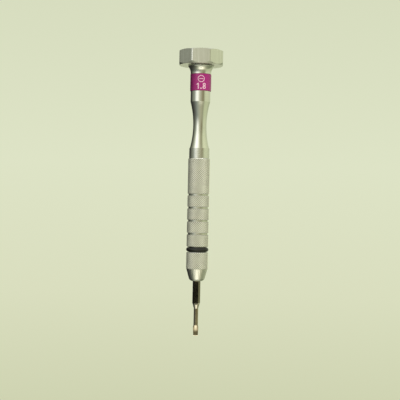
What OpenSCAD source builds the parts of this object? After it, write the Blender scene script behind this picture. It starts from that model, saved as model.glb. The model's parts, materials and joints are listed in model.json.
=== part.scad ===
// Watchmaker's screwdriver: an octagonal finger rest that turns on a ball bearing, a
// waisted neck with a coloured size ring, a knurled hollow barrel with a spare blade in
// it, and a collet chuck that grips a blade with a hexagonal shank.
// Millimetres. +Z runs up the tool's axis and -Y is the front. The origin is the middle
// of the blade's end face.

/* [Blade] */
// Length of blade that shows below the chuck nut
blade_reach = 20.4; // [19:0.1:25]
// Length of shank that stands out of the collet's inner end
blade_past_collet = 0.75; // [0.5:0.05:3]
// Hexagonal shank, across its flats
shank_af = 2.5; // [2:0.05:3]
// Diameter of the round stem
stem_d = 1.66; // [1.2:0.02:1.9]
// Height of the stem's top above the tip
stem_top = 10.2; // [7:0.1:14]
// Length of the cone between stem and shank
cone_len = 2.05; // [1:0.05:3]
// Width of the blade at its end
tip_w = 1.76; // [1.4:0.02:1.9]
// Thickness of the blade at its end
tip_t = 0.3; // [0.2:0.02:0.5]
// Diameter of the swelling that the flats are ground from
swell_d = 1.96; // [1.9:0.02:2.2]
// Height of the swelling's top above the tip
swell_top = 3.4; // [3:0.1:4.5]
// Radius of the two hollow-ground flats
grind_r = 10.5; // [8:0.5:16]

/* [Chuck] */
// Length of the chuck nut's thread
nut_thread_len = 5.2; // [4.5:0.1:8]
// Length of the nut's knurled band
nut_knurl_len = 6.15; // [5:0.05:6.5]
// Angle of the nut's outer taper to the axis
nut_taper_angle = 15.6; // [12:0.1:16]
// Rounding of the nut's nose
nut_nose_r = 1.5; // [1:0.1:1.6]
// Thickness of the lip in front of the collet
nut_lip = 1.2; // [1:0.1:1.5]
// Pitch of the nut's and the neck's threads
thread_pitch = 0.5; // [0.35:0.05:0.6]
// Length of the collet's cone
collet_cone_len = 3.7; // [3:0.1:4.5]
// Angle of the collet's cone to the axis
collet_angle = 12; // [10:0.5:13]
// Wall of the collet's front end, over the shank's corners
collet_front_wall = 0.41; // [0.3:0.01:0.45]
// Thickness of the collet's shoulder
collet_shoulder = 0.6; // [0.4:0.1:0.8]
// Wall of the collet's tail, over the shank's corners
collet_tail_wall = 0.46; // [0.3:0.01:0.5]
// Length of the collet's tail
collet_tail_len = 4.3; // [4.1:0.1:6]
// Width of the collet's slots
collet_slot_w = 0.35; // [0.25:0.05:0.5]
// Length of the collet's slots
collet_slot_len = 6.2; // [5:0.1:7]
// Length of the stop screw behind the blade
stop_len = 3; // [2.5:0.1:4]
// Diameter of the stop screw
stop_d = 3; // [2.9:0.05:3.2]
// Hexagonal socket of the stop screw, across its flats
stop_socket_af = 1.5; // [1.3:0.1:1.6]
// Length of the chuck body above the stop screw
chuck_tail = 6; // [2:0.5:8]

/* [Grip ring] */
// Thickness of the rubber ring
grip_ring_t = 1.6; // [1.4:0.05:1.8]
// How far the rubber ring stands proud of the barrel
grip_ring_proud = 0.12; // [0:0.01:0.15]
// Space on each side of the ring
ring_gap = 0.2; // [0.1:0.05:0.3]

/* [Barrel] */
// Outer diameter of the barrel
barrel_d = 8.1; // [7.9:0.05:10]
// Length of the barrel
barrel_len = 33; // [27:0.5:42]
// Wall of the barrel round its threads
thread_wall = 1.05; // [0.9:0.05:1.1]
// Bore of the barrel, which holds the spare blade
barrel_bore_d = 4.6; // [4:0.1:5.4]
// Number of grooves round the barrel
groove_count = 4; // [2:1:5]
// Height of the lowest groove above the barrel's lower end
groove_first = 4.9; // [3:0.1:6]
// Spacing of the grooves
groove_pitch = 4.84; // [3.5:0.02:5.5]
// Width of a groove at its floor
groove_w = 0.45; // [0.3:0.05:0.8]
// Depth of a groove
groove_depth = 0.4; // [0.2:0.05:0.5]
// Chamfer on the barrel's ends
barrel_chamfer = 0.29; // [0.1:0.01:0.4]

/* [Neck] */
// Length of the thread that joins neck and barrel
neck_thread_len = 4.2; // [4:0.1:6]
// Thickness of the hidden rubber ring between neck and barrel
seal_t = 0.8; // [0.6:0.05:1]
// Clearance round the spare blade in the neck's bore
spare_gap = 0.25; // [0.1:0.05:0.3]
// Space above the spare blade in the neck's bore
spare_room = 2.1; // [1:0.1:4]
// Length of the collar on the barrel
collar_len = 3.7; // [3:0.1:5]
// Smallest diameter of the waist
waist_d = 4.98; // [4.9:0.02:6]
// Radius of the waist's hollow
waist_r = 33; // [30:0.5:60]
// Height of the narrowest point above the collar
waist_low = 8.5; // [7:0.1:9]
// Diameter of the cylinder below the size ring
neck_d = 7.38; // [7.2:0.02:9]
// Length of that cylinder
neck_len = 3.9; // [3:0.1:6]
// Diameter of the neck above the size ring
throat_d = 7.74; // [7.6:0.02:8.6]
// Length of the straight neck above the size ring
throat_len = 0.5; // [0.2:0.05:1]
// Radius of the flare under the head
flare_r = 3.2; // [2.8:0.1:4]
// Height of the flare
flare_len = 2.5; // [2.2:0.1:2.7]
// How far the flare's rim reaches out from the neck
flare_reach = 1.03; // [0.8:0.01:1.2]

/* [Size ring] */
// How far the size ring stands proud of the neck above it
ring_proud = 0.04; // [0:0.01:0.2]
// Length of the size ring
ring_len = 6.4; // [5:0.05:8]
// Wall of the size ring
ring_wall = 0.5; // [0.4:0.05:0.7]
// Slit at the back that lets the ring snap on
ring_slit = 0.3; // [0.2:0.05:0.6]
// Rounding of the ring's outer edges
ring_edge = 0.15; // [0.1:0.01:0.2]

/* [Head] */
// Octagonal head, across its flats
head_af = 16.15; // [13:0.05:20]
// Thickness of the lip under the bearing
head_lip = 0.6; // [0.4:0.05:1]
// How far the turned chamfers reach in from the flats
head_turn = 0.05; // [0:0.01:0.2]
// Rise of the turned chamfer at the bottom, per millimetre of radius
chamfer_low = 1.2; // [0.8:0.1:1.5]
// Rise of the turned chamfer at the top, per millimetre of radius
chamfer_high = 0.6; // [0.3:0.1:1]
// Depth of the flat that breaks each upright corner
head_corner = 0.1; // [0.05:0.01:0.2]
// Diameter of the cover disc in the head's top
cap_d = 10.4; // [9:0.1:12]
// Thickness of the cover disc
cap_t = 0.62; // [0.5:0.01:1]
// Space between the spindle screw and the cover disc
cap_room = 0.25; // [0.1:0.01:0.5]
// How far the cover disc lies below the head's rim
cap_sink = 0.06; // [0:0.01:0.2]
// Depth of the finger dish in the cover disc
cap_dish = 0.25; // [0.1:0.05:0.3]
// Gap between the head and the flare below it
head_gap = 0.3; // [0.2:0.05:0.5]

/* [Bearing] */
// Bore of the bearing
bearing_bore = 3; // [2.5:0.1:3.2]
// Outer diameter of the bearing
bearing_d = 8; // [7.8:0.1:9.6]
// Width of the bearing
bearing_w = 3; // [2.5:0.05:4]
// Diameter of a ball
ball_d = 1.5; // [1.3:0.05:1.5]
// Number of balls
ball_count = 7; // [5:1:7]
// Thickness of a shield
shield_t = 0.15; // [0.1:0.01:0.2]
// Thickness of the retaining clip
clip_t = 0.28; // [0.2:0.02:0.3]
// Depth of the clip's groove in the head
clip_groove = 0.3; // [0.2:0.05:0.4]
// Thickness of the washer under the spindle screw's head
washer_t = 0.2; // [0.15:0.01:0.4]
// Diameter of the spindle screw's head
screw_head_d = 3.9; // [3.6:0.1:4.2]
// Height of the spindle screw's head
screw_head_h = 0.7; // [0.5:0.05:1.2]
// Diameter of the spindle screw's thread
screw_thread_d = 2.4; // [2:0.1:2.6]
// Length of the spindle screw's thread
screw_thread_len = 5; // [4:0.5:6]

/* [Fits] */
// Radial clearance of a thread or a running fit
run_gap = 0.05; // [0.03:0.01:0.08]
// Clearance of the hexagonal shank, on each side
shank_gap = 0.03; // [0.02:0.01:0.05]
// Radial clearance of pieces that are pressed or screwed together for good
press_gap = 0.01; // [0.005:0.005:0.02]
// Gap between end faces that meet
face_gap = 0.05; // [0.03:0.01:0.1]

/* [Hidden] */
$fn = 96;
// how far a cutting tool runs past the face it cuts
over = 1;
// depth of either thread, which is also the chamfer where it starts
thread_depth = 0.61 * thread_pitch;

aluminium = "#b9bbae";
steel = "#8f9089";
dark_steel = "#4a443a";
black_rubber = "#1c1c1b";
purple = "#a0308a";

// chuck, upwards from the nut's nose
nose_z = blade_reach;
collet_z = nose_z + nut_lip + face_gap;
collet_cone_top = collet_z + collet_cone_len;
collet_tail_z = collet_cone_top + collet_shoulder;
collet_top = collet_tail_z + collet_tail_len;
chuck_z = collet_tail_z + face_gap;
nut_top = chuck_z + nut_thread_len;
nut_r = barrel_d / 2;
nut_chamfer = 0.2;

// blade, which reaches from the tip to just past the collet
blade_len = collet_top + blade_past_collet;
shank_r = shank_af / 2 / cos(30);
shank_z = stem_top + cone_len;
tip_land = 0.4;
shank_chamfer = 0.25;

// what holds the blade
shank_hole_r = shank_r + 3 * run_gap;
collet_front_r = shank_r + collet_front_wall;
collet_rise = tan(collet_angle);
collet_big_r = collet_front_r + collet_cone_len * collet_rise;
collet_tail_r = shank_r + collet_tail_wall;
stop_z = blade_len + face_gap;
chuck_top = stop_z + stop_len + chuck_tail;

// both threads are cut in the barrel's own wall
thread_r = barrel_d / 2 - thread_wall;

// grip ring, between the nut and the barrel
ring_z = nut_top + ring_gap + grip_ring_t / 2;
ring_mid_r = barrel_d / 2 + grip_ring_proud - grip_ring_t / 2;
ring_floor_r = ring_mid_r - grip_ring_t / 2;

// barrel
barrel_z = nut_top + grip_ring_t + 2 * ring_gap;
barrel_top = barrel_z + barrel_len;
spare_z = chuck_top + face_gap;

// neck, upwards from the barrel
collar_r = barrel_d / 2 - barrel_chamfer;
collar_z = barrel_top + face_gap;
seal_depth = 2 * seal_t;
seal_z = barrel_top - seal_t;
mouth_r = thread_r + 0.3;
seal_mid_r = mouth_r - run_gap - seal_t / 2;
seal_floor_r = seal_mid_r - seal_t / 2;
thread_top = barrel_top - seal_depth - face_gap;
stub_z = thread_top - neck_thread_len;
neck_bore_r = shank_r + spare_gap;
neck_bore_top = spare_z + blade_len + spare_room;
collar_top = collar_z + collar_len;
waist_z = collar_top + waist_low;
waist_swell = neck_d / 2 - waist_d / 2;
waist_top = waist_z + sqrt(waist_r * waist_r - pow(waist_r - waist_swell, 2));
size_ring_z = waist_top + neck_len;
throat_z = size_ring_z + ring_len;
flare_z = throat_z + throat_len;
flare_top = flare_z + flare_len;
ring_r = throat_d / 2 + ring_proud;

// head and bearing, upwards from the flare
head_z = flare_top + head_gap;
bearing_z = head_z + head_lip;
bearing_mid = bearing_z + bearing_w / 2;
bearing_top = bearing_z + bearing_w;
screw_head_z = bearing_top + washer_t;
cap_z = screw_head_z + screw_head_h + cap_room;
head_top = cap_z + cap_t + cap_sink;
pitch_r = (bearing_bore + bearing_d) / 4;
race_groove_r = ball_d / 2 + 0.04;
land_gap = 0.45;
inner_land_r = pitch_r - land_gap;
outer_land_r = pitch_r + land_gap;
shield_inset = 0.1;
shield_seat_r = outer_land_r + 0.35;
hub_r = inner_land_r;

// ---------------------------------------------------------------- shared shapes

// a disc or rod between two heights
module rod(r, z0, z1) {
    translate([0, 0, z0])
        cylinder(r = r, h = z1 - z0);
}

// a truncated cone between two heights
module cone(r0, r1, z0, z1) {
    translate([0, 0, z0])
        cylinder(r1 = r0, r2 = r1, h = z1 - z0);
}

// a hexagonal prism with corners on +X and -X
module hexagon(af, z0, z1) {
    translate([0, 0, z0])
        cylinder(r = af / 2 / cos(30), h = z1 - z0, $fn = 6);
}

// a flat ring
module washer(r_in, r_out, z0, z1) {
    difference() {
        rod(r_out, z0, z1);
        rod(r_in, z0 - over, z1 + over);
    }
}

// a round rubber ring
module o_ring(mid_r, thick, z) {
    translate([0, 0, z])
        rotate_extrude()
            translate([mid_r, 0])
                circle(d = thick);
}

// a rod with a chamfer on either end
module chamfered_rod(r, z0, z1, low, high) {
    cone(r - low, r, z0, z0 + low);
    rod(r, z0 + low, z1 - high);
    cone(r, r - high, z1 - high, z1);
}

// ---------------------------------------------------------------- blade

// the swelling at the tip and the stem above it
module tip_blank() {
    rod(swell_d / 2, 0, swell_top);
    cone(swell_d / 2, stem_d / 2, swell_top, swell_top + (swell_d - stem_d) * 2);
    rod(stem_d / 2, swell_top, stem_top);
}

// what stays of the blank's sides: they close in a little towards the end
module tip_sides() {
    rotate([90, 0, 0])
        linear_extrude(height = 2 * swell_d, center = true)
            polygon([
                [-tip_w / 2, 0], [tip_w / 2, 0],
                [tip_w / 2, tip_land], [swell_d / 2, swell_top - 1],
                [swell_d / 2, blade_len], [-swell_d / 2, blade_len],
                [-swell_d / 2, swell_top - 1], [-tip_w / 2, tip_land]
            ]);
}

// one hollow-ground flat, on the side that dir names
module hollow_grind(dir) {
    translate([0, dir * (tip_t / 2 + grind_r), tip_land])
        rotate([0, 90, 0])
            cylinder(r = grind_r, h = 3 * swell_d, center = true);
}

// the hexagonal shank, turned to a cone at its foot and chamfered at its top
module shank() {
    intersection() {
        hexagon(shank_af, stem_top, blade_len);
        union() {
            cone(stem_d / 2, shank_r, stem_top, shank_z);
            rod(shank_r, shank_z, blade_len - shank_chamfer);
            cone(shank_r, shank_r - shank_chamfer, blade_len - shank_chamfer, blade_len);
        }
    }
}

module blade_shape() {
    difference() {
        intersection() {
            tip_blank();
            tip_sides();
        }
        hollow_grind(1);
        hollow_grind(-1);
    }
    shank();
}

module blade() {
    color(dark_steel)
        blade_shape();
}

// the spare stands in the handle with its tip up
module spare_blade() {
    color(dark_steel)
        translate([0, 0, spare_z + blade_len])
            mirror([0, 0, 1])
                blade_shape();
}

// ---------------------------------------------------------------- chuck

// half section of the nut's outside, with the rounded nose
module nut_outline() {
    taper_top_r = nut_r - 0.07;
    knurl_z = nut_top - nut_knurl_len;
    foot_r = taper_top_r - (knurl_z - nose_z) * tan(nut_taper_angle);
    tangent = nut_nose_r * tan((90 - nut_taper_angle) / 2);
    nose_x = foot_r - tangent;
    polygon([
        [0, nose_z + nut_nose_r],
        [nose_x, nose_z + nut_nose_r],
        [foot_r + tangent * sin(nut_taper_angle), nose_z + tangent * cos(nut_taper_angle)],
        [taper_top_r, knurl_z],
        [nut_r, knurl_z + 0.1],
        [nut_r, nut_top - nut_chamfer],
        [nut_r - nut_chamfer, nut_top],
        [0, nut_top]
    ]);
    translate([nose_x, nose_z + nut_nose_r])
        circle(r = nut_nose_r);
    translate([0, nose_z])
        square([nose_x, nut_nose_r]);
}

module chuck_nut() {
    cone_z = nose_z + nut_lip;
    color(aluminium)
        difference() {
            rotate_extrude()
                nut_outline();
            rod(shank_hole_r, nose_z - over, nut_top);
            cone(
                collet_front_r + run_gap - face_gap * collet_rise,
                collet_big_r + run_gap,
                cone_z, collet_cone_top
            );
            rod(collet_big_r + run_gap, collet_cone_top - 0.01, chuck_z);
            rod(thread_r, collet_cone_top + 0.4, nut_top + over);
            cone(thread_r - over, thread_r + over, nut_top - over - 0.2, nut_top + over - 0.2);
        }
}

module collet() {
    color(steel)
        difference() {
            union() {
                cone(collet_front_r, collet_big_r, collet_z, collet_cone_top);
                rod(collet_big_r, collet_cone_top, collet_tail_z);
                rod(collet_tail_r, collet_tail_z, collet_top);
            }
            hexagon(shank_af + 2 * shank_gap, collet_z - over, collet_top + over);
            for (side = [0, 120, 240])
                rotate([0, 0, side])
                    translate([0, -collet_slot_w / 2, collet_z - over])
                        cube([barrel_d, collet_slot_w, collet_slot_len + over]);
        }
}

module chuck_body() {
    color(steel)
        difference() {
            union() {
                chamfered_rod(thread_r - run_gap, chuck_z, nut_top, thread_depth, 0.1);
                rod(ring_floor_r, nut_top - 0.1, barrel_z + over);
                chamfered_rod(thread_r - press_gap, barrel_z, chuck_top, 0.2, 0.3);
            }
            rod(collet_tail_r + run_gap, chuck_z - over, collet_top + face_gap);
            rod(shank_hole_r, chuck_z - over, stop_z);
            rod(stop_d / 2, stop_z - over / 2, chuck_top + over);
        }
}

module blade_stop() {
    stop_r = stop_d / 2 - press_gap;
    color(steel)
        difference() {
            chamfered_rod(stop_r, stop_z, stop_z + stop_len, 0.3, 0.2);
            hexagon(stop_socket_af, stop_z + stop_len / 2, stop_z + stop_len + over);
        }
}

module grip_ring() {
    color(black_rubber)
        o_ring(ring_mid_r, grip_ring_t, ring_z);
}

// ---------------------------------------------------------------- barrel

// one groove round the barrel, with sloping sides
module barrel_groove(z) {
    r = barrel_d / 2;
    rotate_extrude()
        polygon([
            [r - groove_depth, z - groove_w / 2],
            [r + over, z - groove_w / 2 - groove_depth / 2 - over / 2],
            [r + over, z + groove_w / 2 + groove_depth / 2 + over / 2],
            [r - groove_depth, z + groove_w / 2]
        ]);
}

module barrel() {
    color(aluminium)
        difference() {
            chamfered_rod(barrel_d / 2, barrel_z, barrel_top, barrel_chamfer, barrel_chamfer);
            for (i = [0 : groove_count - 1])
                barrel_groove(barrel_z + groove_first + i * groove_pitch);
            rod(barrel_bore_d / 2, barrel_z - over, barrel_top + over);
            rod(thread_r, barrel_z - over, chuck_top);
            rod(thread_r, stub_z - face_gap, barrel_top + over);
            rod(mouth_r, barrel_top - seal_depth, barrel_top + over);
        }
}

// ---------------------------------------------------------------- neck

module neck_o_ring() {
    color(black_rubber)
        o_ring(seal_mid_r, seal_t, seal_z);
}

// half section of the neck's hollow waist: a single arc between collar and cylinder
module waist_hollow() {
    intersection() {
        translate([waist_d / 2 + waist_r, waist_z])
            circle(r = waist_r, $fn = 720);
        translate([0, collar_top])
            square([barrel_d, waist_top - collar_top]);
    }
}

// half section of the flare, hollowed by a quarter of a circle
module flare_outline() {
    difference() {
        translate([0, flare_z])
            square([throat_d / 2 + flare_reach, flare_len]);
        translate([throat_d / 2 + flare_r, flare_z])
            circle(r = flare_r);
    }
}

module neck_outline() {
    difference() {
        union() {
            translate([0, collar_z])
                square([collar_r, collar_len]);
            translate([0, collar_z])
                square([neck_d / 2, size_ring_z - collar_z]);
            translate([0, collar_z])
                square([ring_r - ring_wall - press_gap, throat_z - collar_z]);
            translate([0, throat_z])
                square([throat_d / 2, flare_top - throat_z]);
        }
        waist_hollow();
    }
    flare_outline();
}

module neck() {
    color(aluminium)
        difference() {
            union() {
                rotate_extrude()
                    neck_outline();
                rod(hub_r, flare_top - over, bearing_z);
                rod(seal_floor_r - run_gap, thread_top - over, collar_z + over);
                chamfered_rod(thread_r - run_gap, stub_z, thread_top, thread_depth, 0.1);
            }
            rod(neck_bore_r, stub_z - over, neck_bore_top);
            rod(screw_thread_d / 2, bearing_z - screw_thread_len - 0.5, bearing_z + over);
        }
}

// ring with rounded edges, split at the back
module size_ring() {
    top = throat_z - face_gap;
    bottom = size_ring_z + face_gap;
    color(purple)
        difference() {
            rotate_extrude() {
                translate([ring_r - ring_wall, bottom])
                    square([ring_wall - ring_edge, top - bottom]);
                translate([ring_r - ring_wall, bottom + ring_edge])
                    square([ring_wall, top - bottom - 2 * ring_edge]);
                for (z = [bottom + ring_edge, top - ring_edge])
                    translate([ring_r - ring_edge, z])
                        circle(r = ring_edge);
            }
            translate([-ring_slit / 2, 0, bottom - over])
                cube([ring_slit, 2 * ring_r, top - bottom + 2 * over]);
        }
}

// ---------------------------------------------------------------- bearing

module spindle_screw() {
    color(steel)
        difference() {
            union() {
                rod(screw_thread_d / 2 - press_gap, bearing_z - screw_thread_len, bearing_top);
                rod(bearing_bore / 2 - press_gap, bearing_z, screw_head_z);
                chamfered_rod(
                    screw_head_d / 2, screw_head_z, screw_head_z + screw_head_h, 0, 0.15
                );
            }
            translate([-screw_head_d, -0.25, screw_head_z + screw_head_h / 2])
                cube([2 * screw_head_d, 0.5, screw_head_h]);
        }
}

module spindle_washer() {
    color(steel)
        washer(bearing_bore / 2 + press_gap, inner_land_r - 0.1, bearing_top, screw_head_z);
}

// the groove that the balls run in, cut from either race
module ball_track() {
    rotate_extrude()
        translate([pitch_r, bearing_mid])
            circle(r = race_groove_r);
}

module bearing_inner_race() {
    color(steel)
        difference() {
            washer(bearing_bore / 2, inner_land_r, bearing_z, bearing_top);
            ball_track();
        }
}

module bearing_outer_race() {
    seat = shield_inset + shield_t;
    color(steel)
        difference() {
            washer(outer_land_r, bearing_d / 2, bearing_z, bearing_top);
            ball_track();
            rod(shield_seat_r, bearing_z - over, bearing_z + seat);
            rod(shield_seat_r, bearing_top - seat, bearing_top + over);
        }
}

// one shield, with its lower face at z
module shield(z) {
    color(steel)
        washer(inner_land_r + 0.1, shield_seat_r - press_gap, z, z + shield_t);
}

module lower_shield() {
    shield(bearing_z + shield_inset);
}

module upper_shield() {
    shield(bearing_top - shield_inset - shield_t);
}

// whatever is passed in, once at each ball
module at_each_ball() {
    for (i = [0 : ball_count - 1])
        rotate([0, 0, i * 360 / ball_count])
            translate([pitch_r, 0, bearing_mid])
                children();
}

module bearing_balls() {
    color(steel)
        at_each_ball()
            sphere(d = ball_d);
}

// crown cage: its prongs reach down between the balls
module ball_cage() {
    cage_top = bearing_top - shield_inset - shield_t - 0.1;
    color("#b08d4c")
        difference() {
            washer(inner_land_r + 0.12, outer_land_r - 0.12, bearing_mid - 0.25, cage_top);
            at_each_ball()
                sphere(r = ball_d / 2 + 0.06);
        }
}

module retaining_clip() {
    clip_r = bearing_d / 2 + clip_groove - 0.02;
    color(steel)
        difference() {
            washer(bearing_d / 2 - 0.5, clip_r, bearing_top, bearing_top + clip_t);
            translate([-0.6, 0, bearing_top - over])
                cube([1.2, bearing_d, clip_t + 2 * over]);
        }
}

// ---------------------------------------------------------------- head

// an octagonal prism with a flat facing each axis
module octagon(af, turn) {
    rotate([0, 0, turn])
        translate([0, 0, head_z])
            cylinder(r = af / 2 / cos(22.5), h = head_top - head_z, $fn = 8);
}

module swivel_head() {
    corner_r = head_af / 2 / cos(22.5);
    turned_r = head_af / 2 - head_turn;
    reach = corner_r + 1;
    color(aluminium)
        difference() {
            intersection() {
                octagon(head_af, 22.5);
                octagon(2 * (corner_r - head_corner), 0);
                rotate_extrude()
                    polygon([
                        [0, head_z],
                        [turned_r, head_z],
                        [reach, head_z + (reach - turned_r) * chamfer_low],
                        [reach, head_top - (reach - turned_r) * chamfer_high],
                        [turned_r, head_top],
                        [0, head_top]
                    ]);
            }
            rod(hub_r + 0.6, head_z - over, bearing_z + over);
            rod(bearing_d / 2, bearing_z, head_top);
            rod(bearing_d / 2 + clip_groove, bearing_top, bearing_top + clip_t + 0.02);
            rod(cap_d / 2, cap_z, head_top + over);
        }
}

module head_cap() {
    dish_r = (pow(cap_d / 2 - 0.5, 2) + pow(cap_dish, 2)) / (2 * cap_dish);
    color(aluminium)
        difference() {
            chamfered_rod(cap_d / 2 - press_gap, cap_z, cap_z + cap_t, 0, 0.1);
            rotate_extrude()
                intersection() {
                    translate([0, cap_z + cap_t - cap_dish + dish_r])
                        circle(r = dish_r, $fn = 1440);
                    translate([0, cap_z])
                        square([cap_d, cap_t + over]);
                }
        }
}

blade();
chuck_nut();
collet();
chuck_body();
blade_stop();
grip_ring();
barrel();
spare_blade();
neck_o_ring();
neck();
size_ring();
spindle_screw();
spindle_washer();
bearing_inner_race();
bearing_outer_race();
bearing_balls();
ball_cage();
lower_shield();
upper_shield();
retaining_clip();
swivel_head();
head_cap();
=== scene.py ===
"""Watchmaker's screwdriver: the looks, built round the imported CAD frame. Metres, +Z up the
tool's axis, -Y the front."""
import json
import math

import bmesh
import bpy
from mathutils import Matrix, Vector

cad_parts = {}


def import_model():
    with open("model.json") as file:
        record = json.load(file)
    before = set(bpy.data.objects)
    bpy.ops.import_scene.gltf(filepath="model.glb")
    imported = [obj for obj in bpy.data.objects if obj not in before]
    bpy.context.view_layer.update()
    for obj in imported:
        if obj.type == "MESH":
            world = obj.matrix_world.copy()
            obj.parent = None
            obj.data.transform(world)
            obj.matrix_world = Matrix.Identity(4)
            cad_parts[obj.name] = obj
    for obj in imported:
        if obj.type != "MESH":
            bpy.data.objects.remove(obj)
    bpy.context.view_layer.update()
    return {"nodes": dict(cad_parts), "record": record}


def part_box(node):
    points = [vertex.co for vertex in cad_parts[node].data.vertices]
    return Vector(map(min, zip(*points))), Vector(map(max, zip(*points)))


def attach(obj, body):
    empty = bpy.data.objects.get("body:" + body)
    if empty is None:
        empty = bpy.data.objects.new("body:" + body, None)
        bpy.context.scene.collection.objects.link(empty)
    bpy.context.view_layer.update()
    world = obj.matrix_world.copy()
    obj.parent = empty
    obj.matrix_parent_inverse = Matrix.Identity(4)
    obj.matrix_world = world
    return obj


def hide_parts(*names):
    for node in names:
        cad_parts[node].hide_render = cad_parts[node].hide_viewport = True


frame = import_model()

MM = 0.001
TAU = 2 * math.pi
nodes = frame["nodes"]
scene = bpy.context.scene


def span(node):
    """Lowest z, highest z and furthest reach along x or y of a CAD node."""
    low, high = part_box(node)
    return low.z, high.z, max(-low.x, high.x, -low.y, high.y)


# ------------------------------------------------------------------ node helpers

class Nodes:
    """A node tree, and short calls that add and link nodes."""

    def __init__(self, tree):
        self.tree = tree

    def node(self, kind, **settings):
        made = self.tree.nodes.new(kind)
        for name, value in settings.items():
            setattr(made, name, value)
        return made

    def link(self, source, target):
        self.tree.links.new(source, target)

    def put(self, socket, value):
        if isinstance(value, (int, float)):
            socket.default_value = value
        elif isinstance(value, tuple):
            socket.default_value = (*value, 1)
        else:
            self.link(value, socket)

    def math(self, operation, a, b=0.0):
        made = self.node("ShaderNodeMath", operation=operation)
        self.put(made.inputs[0], a)
        self.put(made.inputs[1], b)
        return made.outputs[0]

    def length(self, a, b):
        squares = self.math("ADD", self.math("MULTIPLY", a, a), self.math("MULTIPLY", b, b))
        return self.math("SQRT", squares)

    def band(self, value, low, high, out_low=0.0, out_high=1.0, smooth=True):
        """value carried from low..high to out_low..out_high, held at the ends."""
        made = self.node("ShaderNodeMapRange")
        made.interpolation_type = "SMOOTHSTEP" if smooth else "LINEAR"
        self.put(made.inputs["Value"], value)
        made.inputs["From Min"].default_value = low
        made.inputs["From Max"].default_value = high
        made.inputs["To Min"].default_value = out_low
        made.inputs["To Max"].default_value = out_high
        return made.outputs["Result"]

    def above(self, value, edge, blur):
        """1 from the edge up, fading to 0 below it."""
        return self.band(value, edge - blur, edge)

    def below(self, value, edge, blur):
        """1 up to the edge, fading to 0 above it."""
        return self.band(value, edge, edge + blur, 1, 0)

    def mix(self, factor, a, b):
        """Colour a where factor is 0 and colour b where it is 1."""
        made = self.node("ShaderNodeMix", data_type="RGBA")
        self.put(made.inputs["Factor"], factor)
        self.put(made.inputs[6], a)
        self.put(made.inputs[7], b)
        return made.outputs[2]

    def mix_numbers(self, factor, a, b):
        made = self.node("ShaderNodeMix", data_type="FLOAT")
        self.put(made.inputs["Factor"], factor)
        self.put(made.inputs[2], a)
        self.put(made.inputs[3], b)
        return made.outputs[0]

    def split(self, vector):
        """x, y and z of a vector."""
        made = self.node("ShaderNodeSeparateXYZ")
        self.link(vector, made.inputs[0])
        return made.outputs


class Shader(Nodes):
    """A material with a Principled BSDF, metal unless it says otherwise. Its textures take the
    object coordinates."""

    def __init__(self, name, metallic=1.0, roughness=0.3, color=(0.8, 0.8, 0.8)):
        self.material = bpy.data.materials.new(name)
        self.material.use_nodes = True
        super().__init__(self.material.node_tree)
        self.bsdf = self.tree.nodes["Principled BSDF"]
        self.set("Metallic", metallic)
        self.set("Roughness", roughness)
        self.set("Base Color", color)
        self.coords = self.node("ShaderNodeTexCoord").outputs["Object"]
        self.bump_out = None

    def set(self, socket, value):
        self.put(self.bsdf.inputs[socket], value)

    def axes(self):
        return self.split(self.coords)

    def radius(self):
        """Distance from the tool's axis."""
        x, y, _ = self.axes()
        return self.length(x, y)

    def stretched(self, z_scale):
        """The coordinates, with the heights multiplied."""
        made = self.node("ShaderNodeMapping")
        made.inputs["Scale"].default_value = (1, 1, z_scale)
        self.link(self.coords, made.inputs["Vector"])
        return made.outputs["Vector"]

    def noise(self, vector, scale, detail=4.0, roughness=0.5):
        made = self.node("ShaderNodeTexNoise")
        self.link(vector, made.inputs["Vector"])
        made.inputs["Scale"].default_value = scale
        made.inputs["Detail"].default_value = detail
        made.inputs["Roughness"].default_value = roughness
        return made.outputs["Fac"]

    def rings(self, scale):
        """Noise that depends on height alone, as turning marks do."""
        made = self.node("ShaderNodeTexNoise", noise_dimensions="1D")
        self.link(self.axes()[2], made.inputs["W"])
        made.inputs["Scale"].default_value = scale
        made.inputs["Detail"].default_value = 2
        return made.outputs["Fac"]

    def bump(self, height, distance):
        made = self.node("ShaderNodeBump")
        made.inputs["Strength"].default_value = 1
        made.inputs["Distance"].default_value = distance
        self.put(made.inputs["Height"], height)
        if self.bump_out is not None:
            self.link(self.bump_out, made.inputs["Normal"])
        self.bump_out = made.outputs["Normal"]
        self.link(self.bump_out, self.bsdf.inputs["Normal"])


# ------------------------------------------------------------------ sizes the looks need

BARREL_TOP = span("barrel")[1]
# the neck's collar ends this far above the barrel
COLLAR_TOP = BARREL_TOP + 3.72 * MM

# the nut's top and the foot of its knurled band, its taper in degrees, the radius of its
# nose, and its chamfer
NUT_TOP = span("chuck_nut")[1]
NUT_BAND_LOW = NUT_TOP - 6.15 * MM
NUT_TAPER = 15.6
NUT_NOSE = 1.5 * MM
NUT_CHAMFER = 0.2 * MM
# where the collet's cone ends, its angle in degrees, and how much larger its greatest radius
# is than that of the nut's hole
COLLET_CONE_TOP = span("collet")[0] + 3.7 * MM
COLLET_ANGLE = 12
COLLET_STEP = 1.047 * MM

# where the blade's tip is, and where its ground end, stem and cone end
TIP = span("blade")[0]
GROUND_TOP = TIP + 3.9 * MM
STEM_TOP = TIP + 10.2 * MM
CONE_TOP = STEM_TOP + 2.05 * MM

# the size ring's print, in millimetres: how far right of the front, how far below the
# ring's top, how thick its lines are, and how much thinner those of the screw's head are
PRINT_X = 0.17
PRINT_DOWN = 1.95
PRINT_LINE = 0.34
PRINT_THIN = 0.72

# fine turning marks, in rings to the metre
FINE_RINGS = 9000


# ------------------------------------------------------------------ materials

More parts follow.
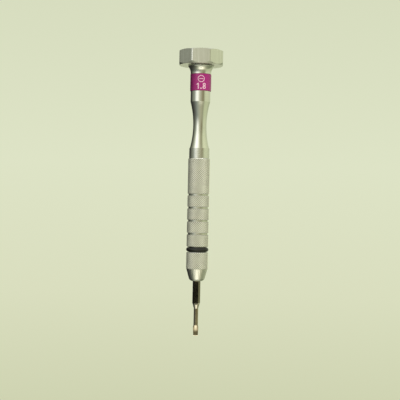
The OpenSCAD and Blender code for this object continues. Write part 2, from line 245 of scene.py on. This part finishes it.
def polished_aluminium():
    """Turned and buffed: fine rings, coarser on the collar that meets the barrel."""
    s = Shader("polished_aluminium")
    z = s.axes()[2]
    collar = s.math("MULTIPLY", s.above(z, BARREL_TOP, 0.1 * MM), s.below(z, COLLAR_TOP, 0.08 * MM))
    rings = s.rings(FINE_RINGS)
    smudge = s.noise(s.coords, 160, 3)
    turned_rough = s.band(rings, 0.3, 0.7, 0.07, 0.13)
    rough = s.math("ADD", turned_rough, s.band(smudge, 0.4, 0.75, 0.0, 0.07))
    s.set("Roughness", s.math("ADD", rough, s.math("MULTIPLY", collar, 0.12)))
    s.set("Base Color", s.mix(s.band(smudge, 0.35, 0.8), (0.80, 0.80, 0.745), (0.72, 0.725, 0.67)))
    relief = s.math("ADD", 0.35, s.math("MULTIPLY", collar, 1.6))
    s.bump(s.math("MULTIPLY", rings, relief), 0.0025 * MM)
    return s.material


def brushed_aluminium():
    """Flats brushed up and down."""
    s = Shader("brushed_aluminium")
    fine = s.noise(s.stretched(0.02), 5200, 3, 0.6)
    broad = s.noise(s.stretched(0.04), 1500, 2)
    grain = s.math("ADD", s.math("MULTIPLY", fine, 0.55), s.math("MULTIPLY", broad, 0.45))
    s.set("Roughness", s.band(grain, 0.3, 0.7, 0.30, 0.40))
    s.set("Base Color", s.mix(s.band(grain, 0.3, 0.7), (0.70, 0.70, 0.645), (0.83, 0.83, 0.78)))
    s.bump(fine, 0.002 * MM)
    return s.material


def knurled_aluminium():
    """Satin, worn bright on the points, and painted dark in the cuts as dirt and painted shade. The
    nut's taper, the floors of the barrel's grooves and the chamfers at both upper ends are turned
    smooth."""
    s = Shader("knurled_aluminium")
    r = s.radius()
    z = s.axes()[2]
    grip_r = span("barrel")[2]
    point = s.band(r, grip_r - 0.13 * MM, grip_r - 0.02 * MM, smooth=False)
    stain = s.noise(s.coords, 420, 5, 0.6)
    clean = (0.97, 0.97, 0.89)
    # the cuts' colour is dirt and painted shade, far darker than the points and mottled by the stain
    # noise
    cut_dirt_and_shade = s.mix(s.band(stain, 0.3, 0.75), (0.24, 0.24, 0.20), (0.12, 0.12, 0.10))

    taper = s.below(z, NUT_BAND_LOW - 0.12 * MM, 0.08 * MM)
    floor = s.below(r, grip_r - 0.22 * MM, 0.03 * MM)
    barrel_chamfer = s.above(z, BARREL_TOP - 0.26 * MM, 0.06 * MM)
    nut_low = s.above(z, NUT_TOP - 0.15 * MM, 0.05 * MM)
    nut_chamfer = s.math("MULTIPLY", nut_low, s.below(z, NUT_TOP + 0.02 * MM, 0.03 * MM))
    smooth = s.math(
        "MAXIMUM", s.math("MAXIMUM", taper, floor), s.math("MAXIMUM", barrel_chamfer, nut_chamfer)
    )
    rings = s.rings(FINE_RINGS)
    smooth_color = s.mix(s.band(rings, 0.3, 0.7), (0.70, 0.70, 0.64), (0.78, 0.78, 0.73))
    s.set("Base Color", s.mix(smooth, s.mix(point, cut_dirt_and_shade, clean), smooth_color))
    # any rougher, and the renderer's denoiser washes the diamonds out
    knurl_rough = s.band(point, 0, 1, 0.27, 0.255)
    smooth_rough = s.band(rings, 0.3, 0.7, 0.20, 0.27)
    s.set("Roughness", s.mix_numbers(smooth, knurl_rough, smooth_rough))
    s.set("Metallic", s.band(smooth, 0, 1, 0.68, 1.0))
    s.bump(s.math("ADD", s.noise(s.coords, 9000, 2), s.math("MULTIPLY", rings, smooth)), 0.002 * MM)
    return s.material


def blade_steel():
    """Hardened steel, one bright steel throughout: the drawn hex and the round part below the cone
    are painted darker as painted reflection of dark surroundings, the turned cone is bright, and the
    ground end carries a painted highlight near its top that fades towards its sides and its edge,
    which is painted bright as a painted highlight."""
    s = Shader("blade_steel")
    blur = 0.06 * MM
    x, _, z = s.axes()
    stain = s.band(s.noise(s.coords, 900, 4), 0.35, 0.7)
    # painted reflection: the hex and the stem get darker copies of the cone's bright steel, standing
    # in for the dark surroundings they mirror
    shank_painted_reflection = s.mix(stain, (0.20, 0.18, 0.125), (0.26, 0.235, 0.165))
    stem_painted_reflection = s.mix(stain, (0.33, 0.275, 0.195), (0.42, 0.355, 0.26))
    bright = s.mix(stain, (0.64, 0.60, 0.52), (0.74, 0.70, 0.61))
    past_stem = s.above(z, STEM_TOP, blur)
    cone = s.math("MULTIPLY", past_stem, s.below(z, CONE_TOP, blur))
    color = s.mix(cone, s.mix(past_stem, stem_painted_reflection, shank_painted_reflection), bright)
    # painted highlight: the ground end's colour rises from dark at its foot to bright near its top,
    # where its hollow grind mirrors the low lamp
    ground_painted_highlight = s.band(z, TIP + 1.0 * MM, GROUND_TOP - 0.3 * MM)
    ground = s.mix(ground_painted_highlight, (0.27, 0.23, 0.155), (0.66, 0.60, 0.48))
    # painted shade: the ground end is painted darker towards its sides, narrowing its painted
    # highlight
    side = s.band(s.math("ABSOLUTE", x), 0.05 * MM, 0.75 * MM)
    ground = s.mix(side, ground, (0.25, 0.21, 0.14))
    color = s.mix(s.below(z, GROUND_TOP - blur, blur), color, ground)
    # painted highlight: the tip's last fraction of a millimetre is painted pale peach, less metallic
    # and rougher, as if its edge caught the light
    edge = s.below(z, TIP + 0.12 * MM, 0.14 * MM)
    s.set("Base Color", s.mix(edge, color, (0.95, 0.86, 0.72)))
    s.set("Metallic", s.band(edge, 0, 1, 1.0, 0.3))
    rough = s.band(s.rings(12000), 0.3, 0.7, 0.09, 0.16)
    s.set("Roughness", s.math("ADD", rough, s.math("MULTIPLY", edge, 0.35)))
    s.bump(s.rings(8000), 0.0012 * MM)
    return s.material


def machined_steel():
    s = Shader("machined_steel")
    s.set("Roughness", s.band(s.rings(8000), 0.3, 0.7, 0.22, 0.36))
    s.set("Base Color", s.mix(s.noise(s.coords, 300, 3), (0.42, 0.42, 0.40), (0.56, 0.56, 0.53)))
    s.bump(s.rings(6000), 0.004 * MM)
    return s.material


def bearing_steel():
    s = Shader("bearing_steel", color=(0.62, 0.62, 0.60))
    s.set("Roughness", s.band(s.noise(s.coords, 2000, 3), 0.3, 0.7, 0.08, 0.18))
    return s.material


def cage_brass():
    s = Shader("cage_brass", roughness=0.3)
    s.set("Base Color", s.mix(s.noise(s.coords, 600, 3), (0.62, 0.43, 0.18), (0.76, 0.56, 0.27)))
    s.bump(s.noise(s.coords, 5000, 2), 0.003 * MM)
    return s.material


def black_rubber():
    """Moulded nitrile: satin, faintly mottled, with a little dust."""
    s = Shader("black_rubber", metallic=0.0)
    mottle = s.noise(s.coords, 2500, 4, 0.6)
    dust = s.math("MULTIPLY", s.band(s.noise(s.coords, 6000, 2), 0.62, 0.74), 0.35)
    s.set("Base Color", s.mix(dust, (0.005, 0.005, 0.0045), (0.06, 0.055, 0.045)))
    s.set("Roughness", s.band(mottle, 0.3, 0.7, 0.27, 0.42))
    s.bump(mottle, 0.006 * MM)
    return s.material


def size_print(s):
    """The size ring's print, 1 where there is ink: a slotted screw's head above a plain size
    figure. Its lengths are millimetres from the middle of the screw's head."""
    high, r = span("size_ring")[1:]
    x, y, z = s.axes()
    turn = s.math("ARCTAN2", x, s.math("MULTIPLY", y, -1))
    u = s.math("SUBTRACT", s.math("MULTIPLY", turn, r / MM), PRINT_X)
    v = s.math("SUBTRACT", s.math("DIVIDE", z, MM), high / MM - PRINT_DOWN)

    def ring(cu, cv, ru, rv, line):
        """Distance from an ellipse's stroke, near enough."""
        du = s.math("DIVIDE", s.math("SUBTRACT", u, cu), ru)
        dv = s.math("DIVIDE", s.math("SUBTRACT", v, cv), rv)
        off = s.math("ABSOLUTE", s.math("SUBTRACT", s.length(du, dv), 1))
        return s.math("SUBTRACT", s.math("MULTIPLY", off, min(ru, rv)), line)

    def block(cu, cv, half_u, half_v, slant=0.0):
        """Distance from an upright block, which slant shears sideways."""
        along = s.math("SUBTRACT", v, cv)
        across = s.math("SUBTRACT", s.math("SUBTRACT", u, cu), s.math("MULTIPLY", along, slant))
        du = s.math("SUBTRACT", s.math("ABSOLUTE", across), half_u)
        dv = s.math("SUBTRACT", s.math("ABSOLUTE", along), half_v)
        return s.math("MAXIMUM", du, dv)

    line = PRINT_LINE / 2
    thin = line * PRINT_THIN
    head, slot = ring(0, 0, 1.16, 1.16, thin), s.math("SUBTRACT", block(0, 0, 0.6, 0), thin)
    one, flag = block(-1.05, -2.68, 0.21, 1.1), block(-1.44, -1.98, 0.26, 0.24, 0.9)
    point = block(-0.02, -3.56, 0.25, 0.22)
    eight_top, eight_foot = ring(1.19, -2.15, 0.40, 0.40, line), ring(1.19, -3.15, 0.45, 0.46, line)
    nearest = head
    for shape in (slot, one, flag, point, eight_top, eight_foot):
        nearest = s.math("MINIMUM", nearest, shape)
    worn = s.band(s.noise(s.coords, 3000, 4), 0.22, 0.34, 0.75, 1)
    return s.math("MULTIPLY", s.band(nearest, -0.03, 0.03, 1, 0), worn)


def purple_plastic():
    """Glossy moulded sleeve with a faint flow texture, rubbed patches and white print."""
    s = Shader("purple_plastic", metallic=0.0)
    ink = size_print(s)
    flow = s.noise(s.stretched(0.4), 700, 4)
    body = s.mix(s.band(flow, 0.3, 0.7), (0.26, 0.013, 0.150), (0.30, 0.020, 0.175))
    s.set("Base Color", s.mix(ink, body, (0.60, 0.41, 0.56)))
    s.set("Roughness", s.band(s.noise(s.coords, 260, 3), 0.35, 0.7, 0.24, 0.40))
    s.bump(s.math("ADD", flow, s.math("MULTIPLY", ink, 1.2)), 0.008 * MM)
    return s.material


MATERIALS = {
    "polished_aluminium": polished_aluminium(),
    "brushed_aluminium": brushed_aluminium(),
    "knurled_aluminium": knurled_aluminium(),
    "blade_steel": blade_steel(),
    "machined_steel": machined_steel(),
    "bearing_steel": bearing_steel(),
    "cage_brass": cage_brass(),
    "black_rubber": black_rubber(),
    "purple_plastic": purple_plastic(),
}


# ------------------------------------------------------------------ knurled pieces

# the knurl: its threads each way round, the steps each is drawn with, its depth, and the
# share of that depth at which the points are flat
KNURL_STARTS = 33
KNURL_STEPS = 8
KNURL_DEPTH = 0.15 * MM
KNURL_FLAT = 0.7
AROUND = KNURL_STARTS * KNURL_STEPS

THREAD_WALL = 1.05 * MM
BARREL_CHAMFER = 0.29 * MM
GROOVE_FIRST, GROOVE_PITCH, GROOVES = 4.9 * MM, 4.84 * MM, 4
GROOVE_FLOOR, GROOVE_DEPTH = 0.45 * MM, 0.4 * MM
# the grooves' sides rise this much for each step along the barrel
GROOVE_SLOPE = 2
BARREL_BORE_R = 2.3 * MM
SEAL_DEPTH = 1.6 * MM
MOUTH_STEP = 0.3 * MM
FACE_GAP = 0.05 * MM
# the nut's taper starts this far inside its knurled band, which rises from it at a slope
NUT_STEP = 0.07 * MM
NUT_BAND_SLOPE = 0.7
NUT_THREAD_CHAMFER = 0.2 * MM
NUT_RELIEF = 0.4 * MM
NUT_HOLE_CHAMFER = 0.08 * MM
NUT_NOSE_STEPS = 14
NUT_NOSE_GAP = 0.02 * MM
# edges that turn by more degrees than this are drawn sharp
SHARP_ANGLE = 20


def finished(name, mesh, body, slot, replaces):
    """A piece from a mesh: welded, shaded, painted, and riding on its body."""
    work = bmesh.new()
    work.from_mesh(mesh)
    bmesh.ops.remove_doubles(work, verts=work.verts, dist=1e-7)
    bmesh.ops.recalc_face_normals(work, faces=work.faces)
    work.to_mesh(mesh)
    work.free()
    mesh.shade_smooth()
    mesh.set_sharp_from_angle(angle=math.radians(SHARP_ANGLE))
    mesh.materials.append(MATERIALS[slot])
    piece = bpy.data.objects.new(name, mesh)
    scene.collection.objects.link(piece)
    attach(piece, body)
    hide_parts(*replaces)


def turned(name, around, rings):
    """A closed surface round the axis. rings holds functions of the angle's index, each
    giving (radius, z), in order round the section."""
    verts, faces = [], []
    for ring in rings:
        for i in range(around):
            r, z = ring(i)
            a = TAU * i / around
            verts.append((r * math.cos(a), r * math.sin(a), z))
    count = len(rings)
    for k in range(count):
        for i in range(around):
            a, b = k * around + i, k * around + (i + 1) % around
            c, d = (k + 1) % count * around + (i + 1) % around, (k + 1) % count * around + i
            faces.append((a, b, c, d))
    mesh = bpy.data.meshes.new(name)
    mesh.from_pydata(verts, [], faces)
    return mesh


def plain(points):
    """Rings that don't vary round the axis, from (radius, z) points."""
    return [lambda i, r=r, z=z: (r, z) for r, z in points]


def arc(cr, cz, radius, start, end, steps):
    """Points on an arc in the half section, from one angle to another in degrees."""
    points = []
    for k in range(steps + 1):
        a = math.radians(start + (end - start) * k / steps)
        points.append((cr + radius * math.cos(a), cz + radius * math.sin(a)))
    return points


def knurl_height(i, j):
    """0 in a cut and 1 on a point, at step i round the grip and step j up it."""
    def wave(n):
        phase = n % KNURL_STEPS / KNURL_STEPS
        return abs(2 * phase - 1)
    return min(wave(i + j), wave(i - j), KNURL_FLAT) / KNURL_FLAT


def knurled_rings(radius, z0, z1, limit, corners):
    """Rings of a knurled cylinder between two heights. limit(z) is the largest radius that
    other cuts leave, and corners are the heights at which it bends."""
    pitch = TAU * radius / AROUND
    # no ring closer than a quarter step to either end
    first, last = math.ceil(z0 / pitch + 0.25), math.floor(z1 / pitch - 0.25)
    heights = [z0, z1, *corners] + [j * pitch for j in range(first, last + 1)]
    rings = []
    for z in sorted(heights):
        j = z / pitch
        low, part = math.floor(j), j - math.floor(j)

        def ring(i, z=z, low=low, part=part):
            height = knurl_height(i, low) * (1 - part) + knurl_height(i, low + 1) * part
            return min(radius - KNURL_DEPTH * (1 - height), limit(z)), z
        rings.append(ring)
    return rings


def build_barrel():
    z0, z1, r = span("barrel")
    centres = [z0 + GROOVE_FIRST + GROOVE_PITCH * k for k in range(GROOVES)]
    floor_half = GROOVE_FLOOR / 2
    top_half = floor_half + GROOVE_DEPTH / GROOVE_SLOPE

    def limit(z):
        most = min(r, r - BARREL_CHAMFER + (z - z0), r - BARREL_CHAMFER + (z1 - z))
        for c in centres:
            most = min(most, r - GROOVE_DEPTH + max(0, abs(z - c) - floor_half) * GROOVE_SLOPE)
        return most

    corners = [
        c + side * half for c in centres for side in (-1, 1)
        for half in (floor_half, (floor_half + top_half) / 2, top_half)
    ]
    for inset in (BARREL_CHAMFER, BARREL_CHAMFER / 2):
        corners += [z0 + inset, z1 - inset]
    outer = knurled_rings(r, z0, z1, limit, corners)
    thread_r = r - THREAD_WALL
    mouth_r = thread_r + MOUTH_STEP
    chuck_high = span("chuck_body")[1]
    stub_low = span("neck")[0] - FACE_GAP
    inner = plain([
        (mouth_r, z1), (mouth_r, z1 - SEAL_DEPTH), (thread_r, z1 - SEAL_DEPTH),
        (thread_r, stub_low), (BARREL_BORE_R, stub_low), (BARREL_BORE_R, chuck_high),
        (thread_r, chuck_high), (thread_r, z0)
    ])
    mesh = turned("barrel_knurled", AROUND, outer + inner)
    finished("barrel_knurled", mesh, "handle", "knurled_aluminium", ["barrel"])


def build_nut():
    z0, z1, r = span("chuck_nut")
    taper_top = r - NUT_STEP
    slope = math.radians(NUT_TAPER)
    foot = taper_top - (NUT_BAND_LOW - z0) * math.tan(slope)
    nose_mid = foot - NUT_NOSE * math.tan((math.pi / 2 - slope) / 2)
    hole = span("collet")[2] - COLLET_STEP
    nose = arc(nose_mid, z0 + NUT_NOSE, NUT_NOSE, -90, -NUT_TAPER, NUT_NOSE_STEPS)
    # the part of the nose that the hole leaves
    outside = plain([p for p in nose if p[0] > hole + NUT_NOSE_GAP])

    def limit(z):
        return min(r, taper_top + (z - NUT_BAND_LOW) * NUT_BAND_SLOPE, r - NUT_CHAMFER + (z1 - z))

    corners = [NUT_BAND_LOW + NUT_STEP / NUT_BAND_SLOPE, z1 - NUT_CHAMFER, z1 - NUT_CHAMFER / 2]
    band = knurled_rings(r, NUT_BAND_LOW, z1, limit, corners)
    thread_r = r - THREAD_WALL
    cone_low, cone_high, cone_r = span("collet")[0], COLLET_CONE_TOP, span("collet")[2] + FACE_GAP
    cone_drop = cone_high - cone_low + FACE_GAP
    inside = plain([
        (thread_r + NUT_THREAD_CHAMFER, z1), (thread_r, z1 - NUT_THREAD_CHAMFER),
        (thread_r, cone_high + NUT_RELIEF), (cone_r, cone_high + NUT_RELIEF), (cone_r, cone_high),
        (cone_r - cone_drop * math.tan(math.radians(COLLET_ANGLE)), cone_low - FACE_GAP),
        (hole, cone_low - FACE_GAP), (hole, z0 + NUT_HOLE_CHAMFER), (hole + NUT_HOLE_CHAMFER, z0)
    ])
    mesh = turned("nut_knurled", AROUND, outside + band + inside)
    finished("nut_knurled", mesh, "nut", "knurled_aluminium", ["chuck_nut"])


build_barrel()
build_nut()

for row in frame["record"]["subparts"]:
    node = nodes[row["node"]]
    node.data.materials.clear()
    node.data.materials.append(MATERIALS[row["material_slot"]])


# ------------------------------------------------------------------ floor and black card

FLOOR_R = 1.5
FLOOR_Z = -0.42
# how much of its own colour the floor gives off, as a light table does, because the room
# gives matt surfaces little
FLOOR_GLOW = 0.5


def build_floor():
    """A plain pale table far below the tool, kept out of its polish and its matt parts."""
    s = Shader("floor", metallic=0.0, roughness=0.8)
    color = s.mix(s.band(s.noise(s.coords, 9, 4), 0.3, 0.7), (0.70, 0.74, 0.53), (0.75, 0.785, 0.575))
    s.set("Base Color", color)
    s.set("Emission Color", color)
    s.set("Emission Strength", FLOOR_GLOW)
    s.bump(s.noise(s.coords, 400, 3), 0.05 * MM)
    mesh = bpy.data.meshes.new("floor")
    work = bmesh.new()
    bmesh.ops.create_circle(work, cap_ends=True, segments=96, radius=FLOOR_R)
    work.to_mesh(mesh)
    work.free()
    mesh.materials.append(s.material)
    floor = bpy.data.objects.new("floor", mesh)
    scene.collection.objects.link(floor)
    floor.location.z = FLOOR_Z
    floor.visible_glossy = False
    floor.visible_diffuse = False


def black_flag():
    """A black card in front of the blade, low enough for its front flat alone to mirror."""
    s = Shader("black_card", metallic=0.0, roughness=0.9, color=(0.01, 0.01, 0.01))
    left, right, bottom, top, ahead = -24 * MM, 17 * MM, -1 * MM, 14 * MM, -100 * MM
    mesh = bpy.data.meshes.new("black_flag")
    corners = [(left, bottom), (right, bottom), (right, top), (left, top)]
    mesh.from_pydata([(x, ahead, z) for x, z in corners], [], [(0, 1, 2, 3)])
    mesh.materials.append(s.material)
    flag = bpy.data.objects.new("black_flag", mesh)
    scene.collection.objects.link(flag)
    flag.visible_camera = False
    flag.visible_diffuse = False
    flag.visible_shadow = False


build_floor()
black_flag()

# ------------------------------------------------------------------ camera

# where the camera stands, and how far the picture is turned so that the tool leans
CAMERA_RIGHT, CAMERA_AHEAD, CAMERA_UP = 0.64 * MM, 340 * MM, 50.7 * MM
CAMERA_LENS = 81.9
CAMERA_ROLL = -1.2

scene.view_settings.view_transform = "Standard"
camera_data = bpy.data.cameras.new("camera")
camera_data.sensor_width = 36
camera_data.lens = CAMERA_LENS
camera = bpy.data.objects.new("camera", camera_data)
scene.collection.objects.link(camera)
camera.location = (CAMERA_RIGHT, -CAMERA_AHEAD, CAMERA_UP)
camera.rotation_mode = "XYZ"
camera.rotation_euler = (math.radians(90), math.radians(CAMERA_ROLL), 0)
scene.camera = camera

# ------------------------------------------------------------------ light

LIGHT_TARGET = Vector((0, 0, 55 * MM))
# matt surfaces get this share of the room's light, so that the fill shapes them
ROOM_ON_MATT = 0.2

# The room's colours by azimuth in degrees, 0 in front (-Y), 180 behind and negative to the
# left: dark behind on the left, lit in front on the left, brown in front, pale on the right.
PALE = (0.62, 0.66, 0.46)
GROUND = [(-179, (0.72, 0.76, 0.56)), (0, (0.40, 0.42, 0.32)), (179, (0.72, 0.76, 0.56))]
LOW = [
    (-179, (0.40, 0.42, 0.30)), (-152, (0.03, 0.03, 0.027)), (-112, (0.04, 0.042, 0.033)),
    (-91, (0.08, 0.085, 0.068)), (-74, (0.14, 0.15, 0.115)), (-60, (0.24, 0.25, 0.185)),
    (-44, (0.42, 0.44, 0.33)), (-31, (0.78, 0.78, 0.58)), (-19, (1.20, 1.18, 0.95)),
    (-8, (1.62, 1.58, 1.30)), (12, (1.62, 1.58, 1.28)), (26, (1.22, 1.18, 0.90)),
    (40, (0.88, 0.85, 0.60)), (54, (0.52, 0.52, 0.35)), (72, (0.33, 0.35, 0.225)),
    (95, (0.25, 0.27, 0.17)), (130, (0.22, 0.25, 0.15)), (179, (0.40, 0.42, 0.30))
]
BELOW_LEVEL = [
    (-179, (0.68, 0.73, 0.50)), (-167, (0.66, 0.70, 0.48)), (-159, (0.04, 0.04, 0.035)),
    (-125, (0.03, 0.03, 0.027)), (-111, (0.05, 0.055, 0.045)), (-88, (0.10, 0.10, 0.09)),
    (-70, (0.16, 0.17, 0.15)), (-54, (0.24, 0.27, 0.23)), (-39, (0.33, 0.36, 0.30)),
    (-25, (0.40, 0.42, 0.33)), (-9, (0.45, 0.46, 0.34)), (18, (0.46, 0.45, 0.30)),
    (33, (0.36, 0.36, 0.24)), (49, (0.44, 0.46, 0.30)), (61, (0.59, 0.64, 0.40)),
    (102, (0.59, 0.63, 0.41)), (140, (0.42, 0.46, 0.30)), (158, (0.48, 0.52, 0.35)),
    (168, (0.66, 0.70, 0.48)), (179, (0.68, 0.73, 0.50))
]
LEVEL = [
    (-179, PALE), (-168, (0.55, 0.58, 0.42)), (-160, (0.03, 0.03, 0.027)),
    (-125, (0.04, 0.04, 0.035)), (-111, (0.13, 0.14, 0.11)), (-90, (0.27, 0.29, 0.22)),
    (-74, (0.35, 0.38, 0.31)), (-64, (0.48, 0.51, 0.44)), (-52, (1.08, 1.12, 1.02)),
    (-40, (1.32, 1.33, 1.22)), (-28, (1.28, 1.28, 1.15)), (-20, (1.0, 1.0, 0.84)),
    (-11, (0.70, 0.70, 0.54)), (2, (0.51, 0.52, 0.37)), (13, (0.43, 0.41, 0.29)),
    (25, (0.31, 0.28, 0.16)), (38, (0.27, 0.25, 0.15)), (50, (0.52, 0.55, 0.36)),
    (61, (0.70, 0.74, 0.50)), (92, (0.70, 0.74, 0.50)), (126, PALE), (179, PALE)
]
UPPER = [
    (-179, PALE), (-166, (0.50, 0.53, 0.38)), (-156, (0.04, 0.04, 0.035)),
    (-125, (0.11, 0.12, 0.09)), (-111, (0.18, 0.19, 0.135)), (-90, (0.34, 0.36, 0.27)),
    (-72, (0.66, 0.69, 0.57)), (-58, (1.15, 1.17, 1.06)), (-45, (1.50, 1.50, 1.40)),
    (-28, (1.42, 1.42, 1.32)), (-15, (1.15, 1.15, 0.97)), (0, (0.70, 0.71, 0.51)),
    (13, (0.44, 0.43, 0.28)), (28, (0.34, 0.34, 0.21)), (44, (0.60, 0.63, 0.41)),
    (60, (0.80, 0.84, 0.57)), (85, (0.76, 0.80, 0.54)), (110, (0.67, 0.72, 0.48)), (179, PALE)
]
OVERHEAD = [(-179, (0.7, 0.72, 0.62)), (0, (1.0, 1.0, 0.94)), (179, (0.7, 0.72, 0.62))]
# each belt above the ground takes over from the one below between two heights, which are
# sines of the elevation
BELTS = [
    (-0.97, -0.80, LOW), (-0.50, -0.33, BELOW_LEVEL), (-0.12, 0.14, LEVEL), (0.12, 0.32, UPPER),
    (0.46, 0.78, OVERHEAD)
]
# what the camera sees behind the tool, by a height that runs from 0 below to 1 overhead
BACKDROP = [
    (0.39, (0.62, 0.65, 0.44)), (0.45, (0.70, 0.73, 0.52)), (0.52, (0.73, 0.77, 0.565)),
    (0.61, (0.68, 0.72, 0.52))
]


def world():
    """A plain pale backdrop for the camera, and the room round the tool for all else."""
    made = bpy.data.worlds.new("studio")
    made.use_nodes = True
    scene.world = made
    made.node_tree.nodes.clear()
    w = Nodes(made.node_tree)

    def ramp(value, stops):
        n = w.node("ShaderNodeValToRGB")
        w.link(value, n.inputs[0])
        elements = n.color_ramp.elements
        while len(elements) > 1:
            elements.remove(elements[-1])
        elements[0].position, elements[0].color = stops[0][0], (*stops[0][1], 1)
        for position, color in stops[1:]:
            elements.new(position).color = (*color, 1)
        return n.outputs["Color"]

    x, y, z = w.split(w.node("ShaderNodeTexCoord").outputs["Generated"])
    turn = w.math("ARCTAN2", x, w.math("MULTIPLY", y, -1))
    turn = w.math("ADD", w.math("DIVIDE", turn, TAU), 0.5)

    def around(stops):
        return ramp(turn, [(degrees / 360 + 0.5, color) for degrees, color in stops])

    room = around(GROUND)
    for low, high, stops in BELTS:
        room = w.mix(w.band(z, low, high), room, around(stops))
    backdrop = ramp(w.math("ADD", w.math("MULTIPLY", z, 0.5), 0.5), BACKDROP)
    ray = w.node("ShaderNodeLightPath").outputs
    light = w.node("ShaderNodeBackground")
    w.link(w.mix(ray["Is Camera Ray"], room, backdrop), light.inputs["Color"])
    dimmed = w.math("MULTIPLY", ray["Is Diffuse Ray"], 1 - ROOM_ON_MATT)
    w.link(w.math("SUBTRACT", 1.0, dimmed), light.inputs["Strength"])
    w.link(light.outputs[0], w.node("ShaderNodeOutputWorld").inputs[0])


def area_light(name, azimuth, elevation, distance, side, power, color):
    """A softbox that faces the tool. Azimuth 0 is in front, and negative is to the left."""
    data = bpy.data.lights.new(name, "AREA")
    data.shape = "SQUARE"
    data.size = side
    data.energy = power
    data.color = color
    light = bpy.data.objects.new(name, data)
    scene.collection.objects.link(light)
    a, e = math.radians(azimuth), math.radians(elevation)
    out = Vector((math.sin(a) * math.cos(e), -math.cos(a) * math.cos(e), math.sin(e)))
    light.location = LIGHT_TARGET + out * distance
    light.rotation_mode = "QUATERNION"
    light.rotation_quaternion = (-out).to_track_quat("-Z", "Y")
    light.visible_camera = False
    return light


world()
area_light("top", azimuth=10, elevation=75, distance=0.5, side=0.4, power=0.7, color=(1.0, 1.0, 0.95))
# the fill lights matt surfaces and stays out of the polish
fill = area_light(
    "fill", azimuth=18, elevation=14, distance=0.6, side=0.3, power=4.6, color=(1.0, 0.98, 0.74)
)
fill.visible_glossy = False
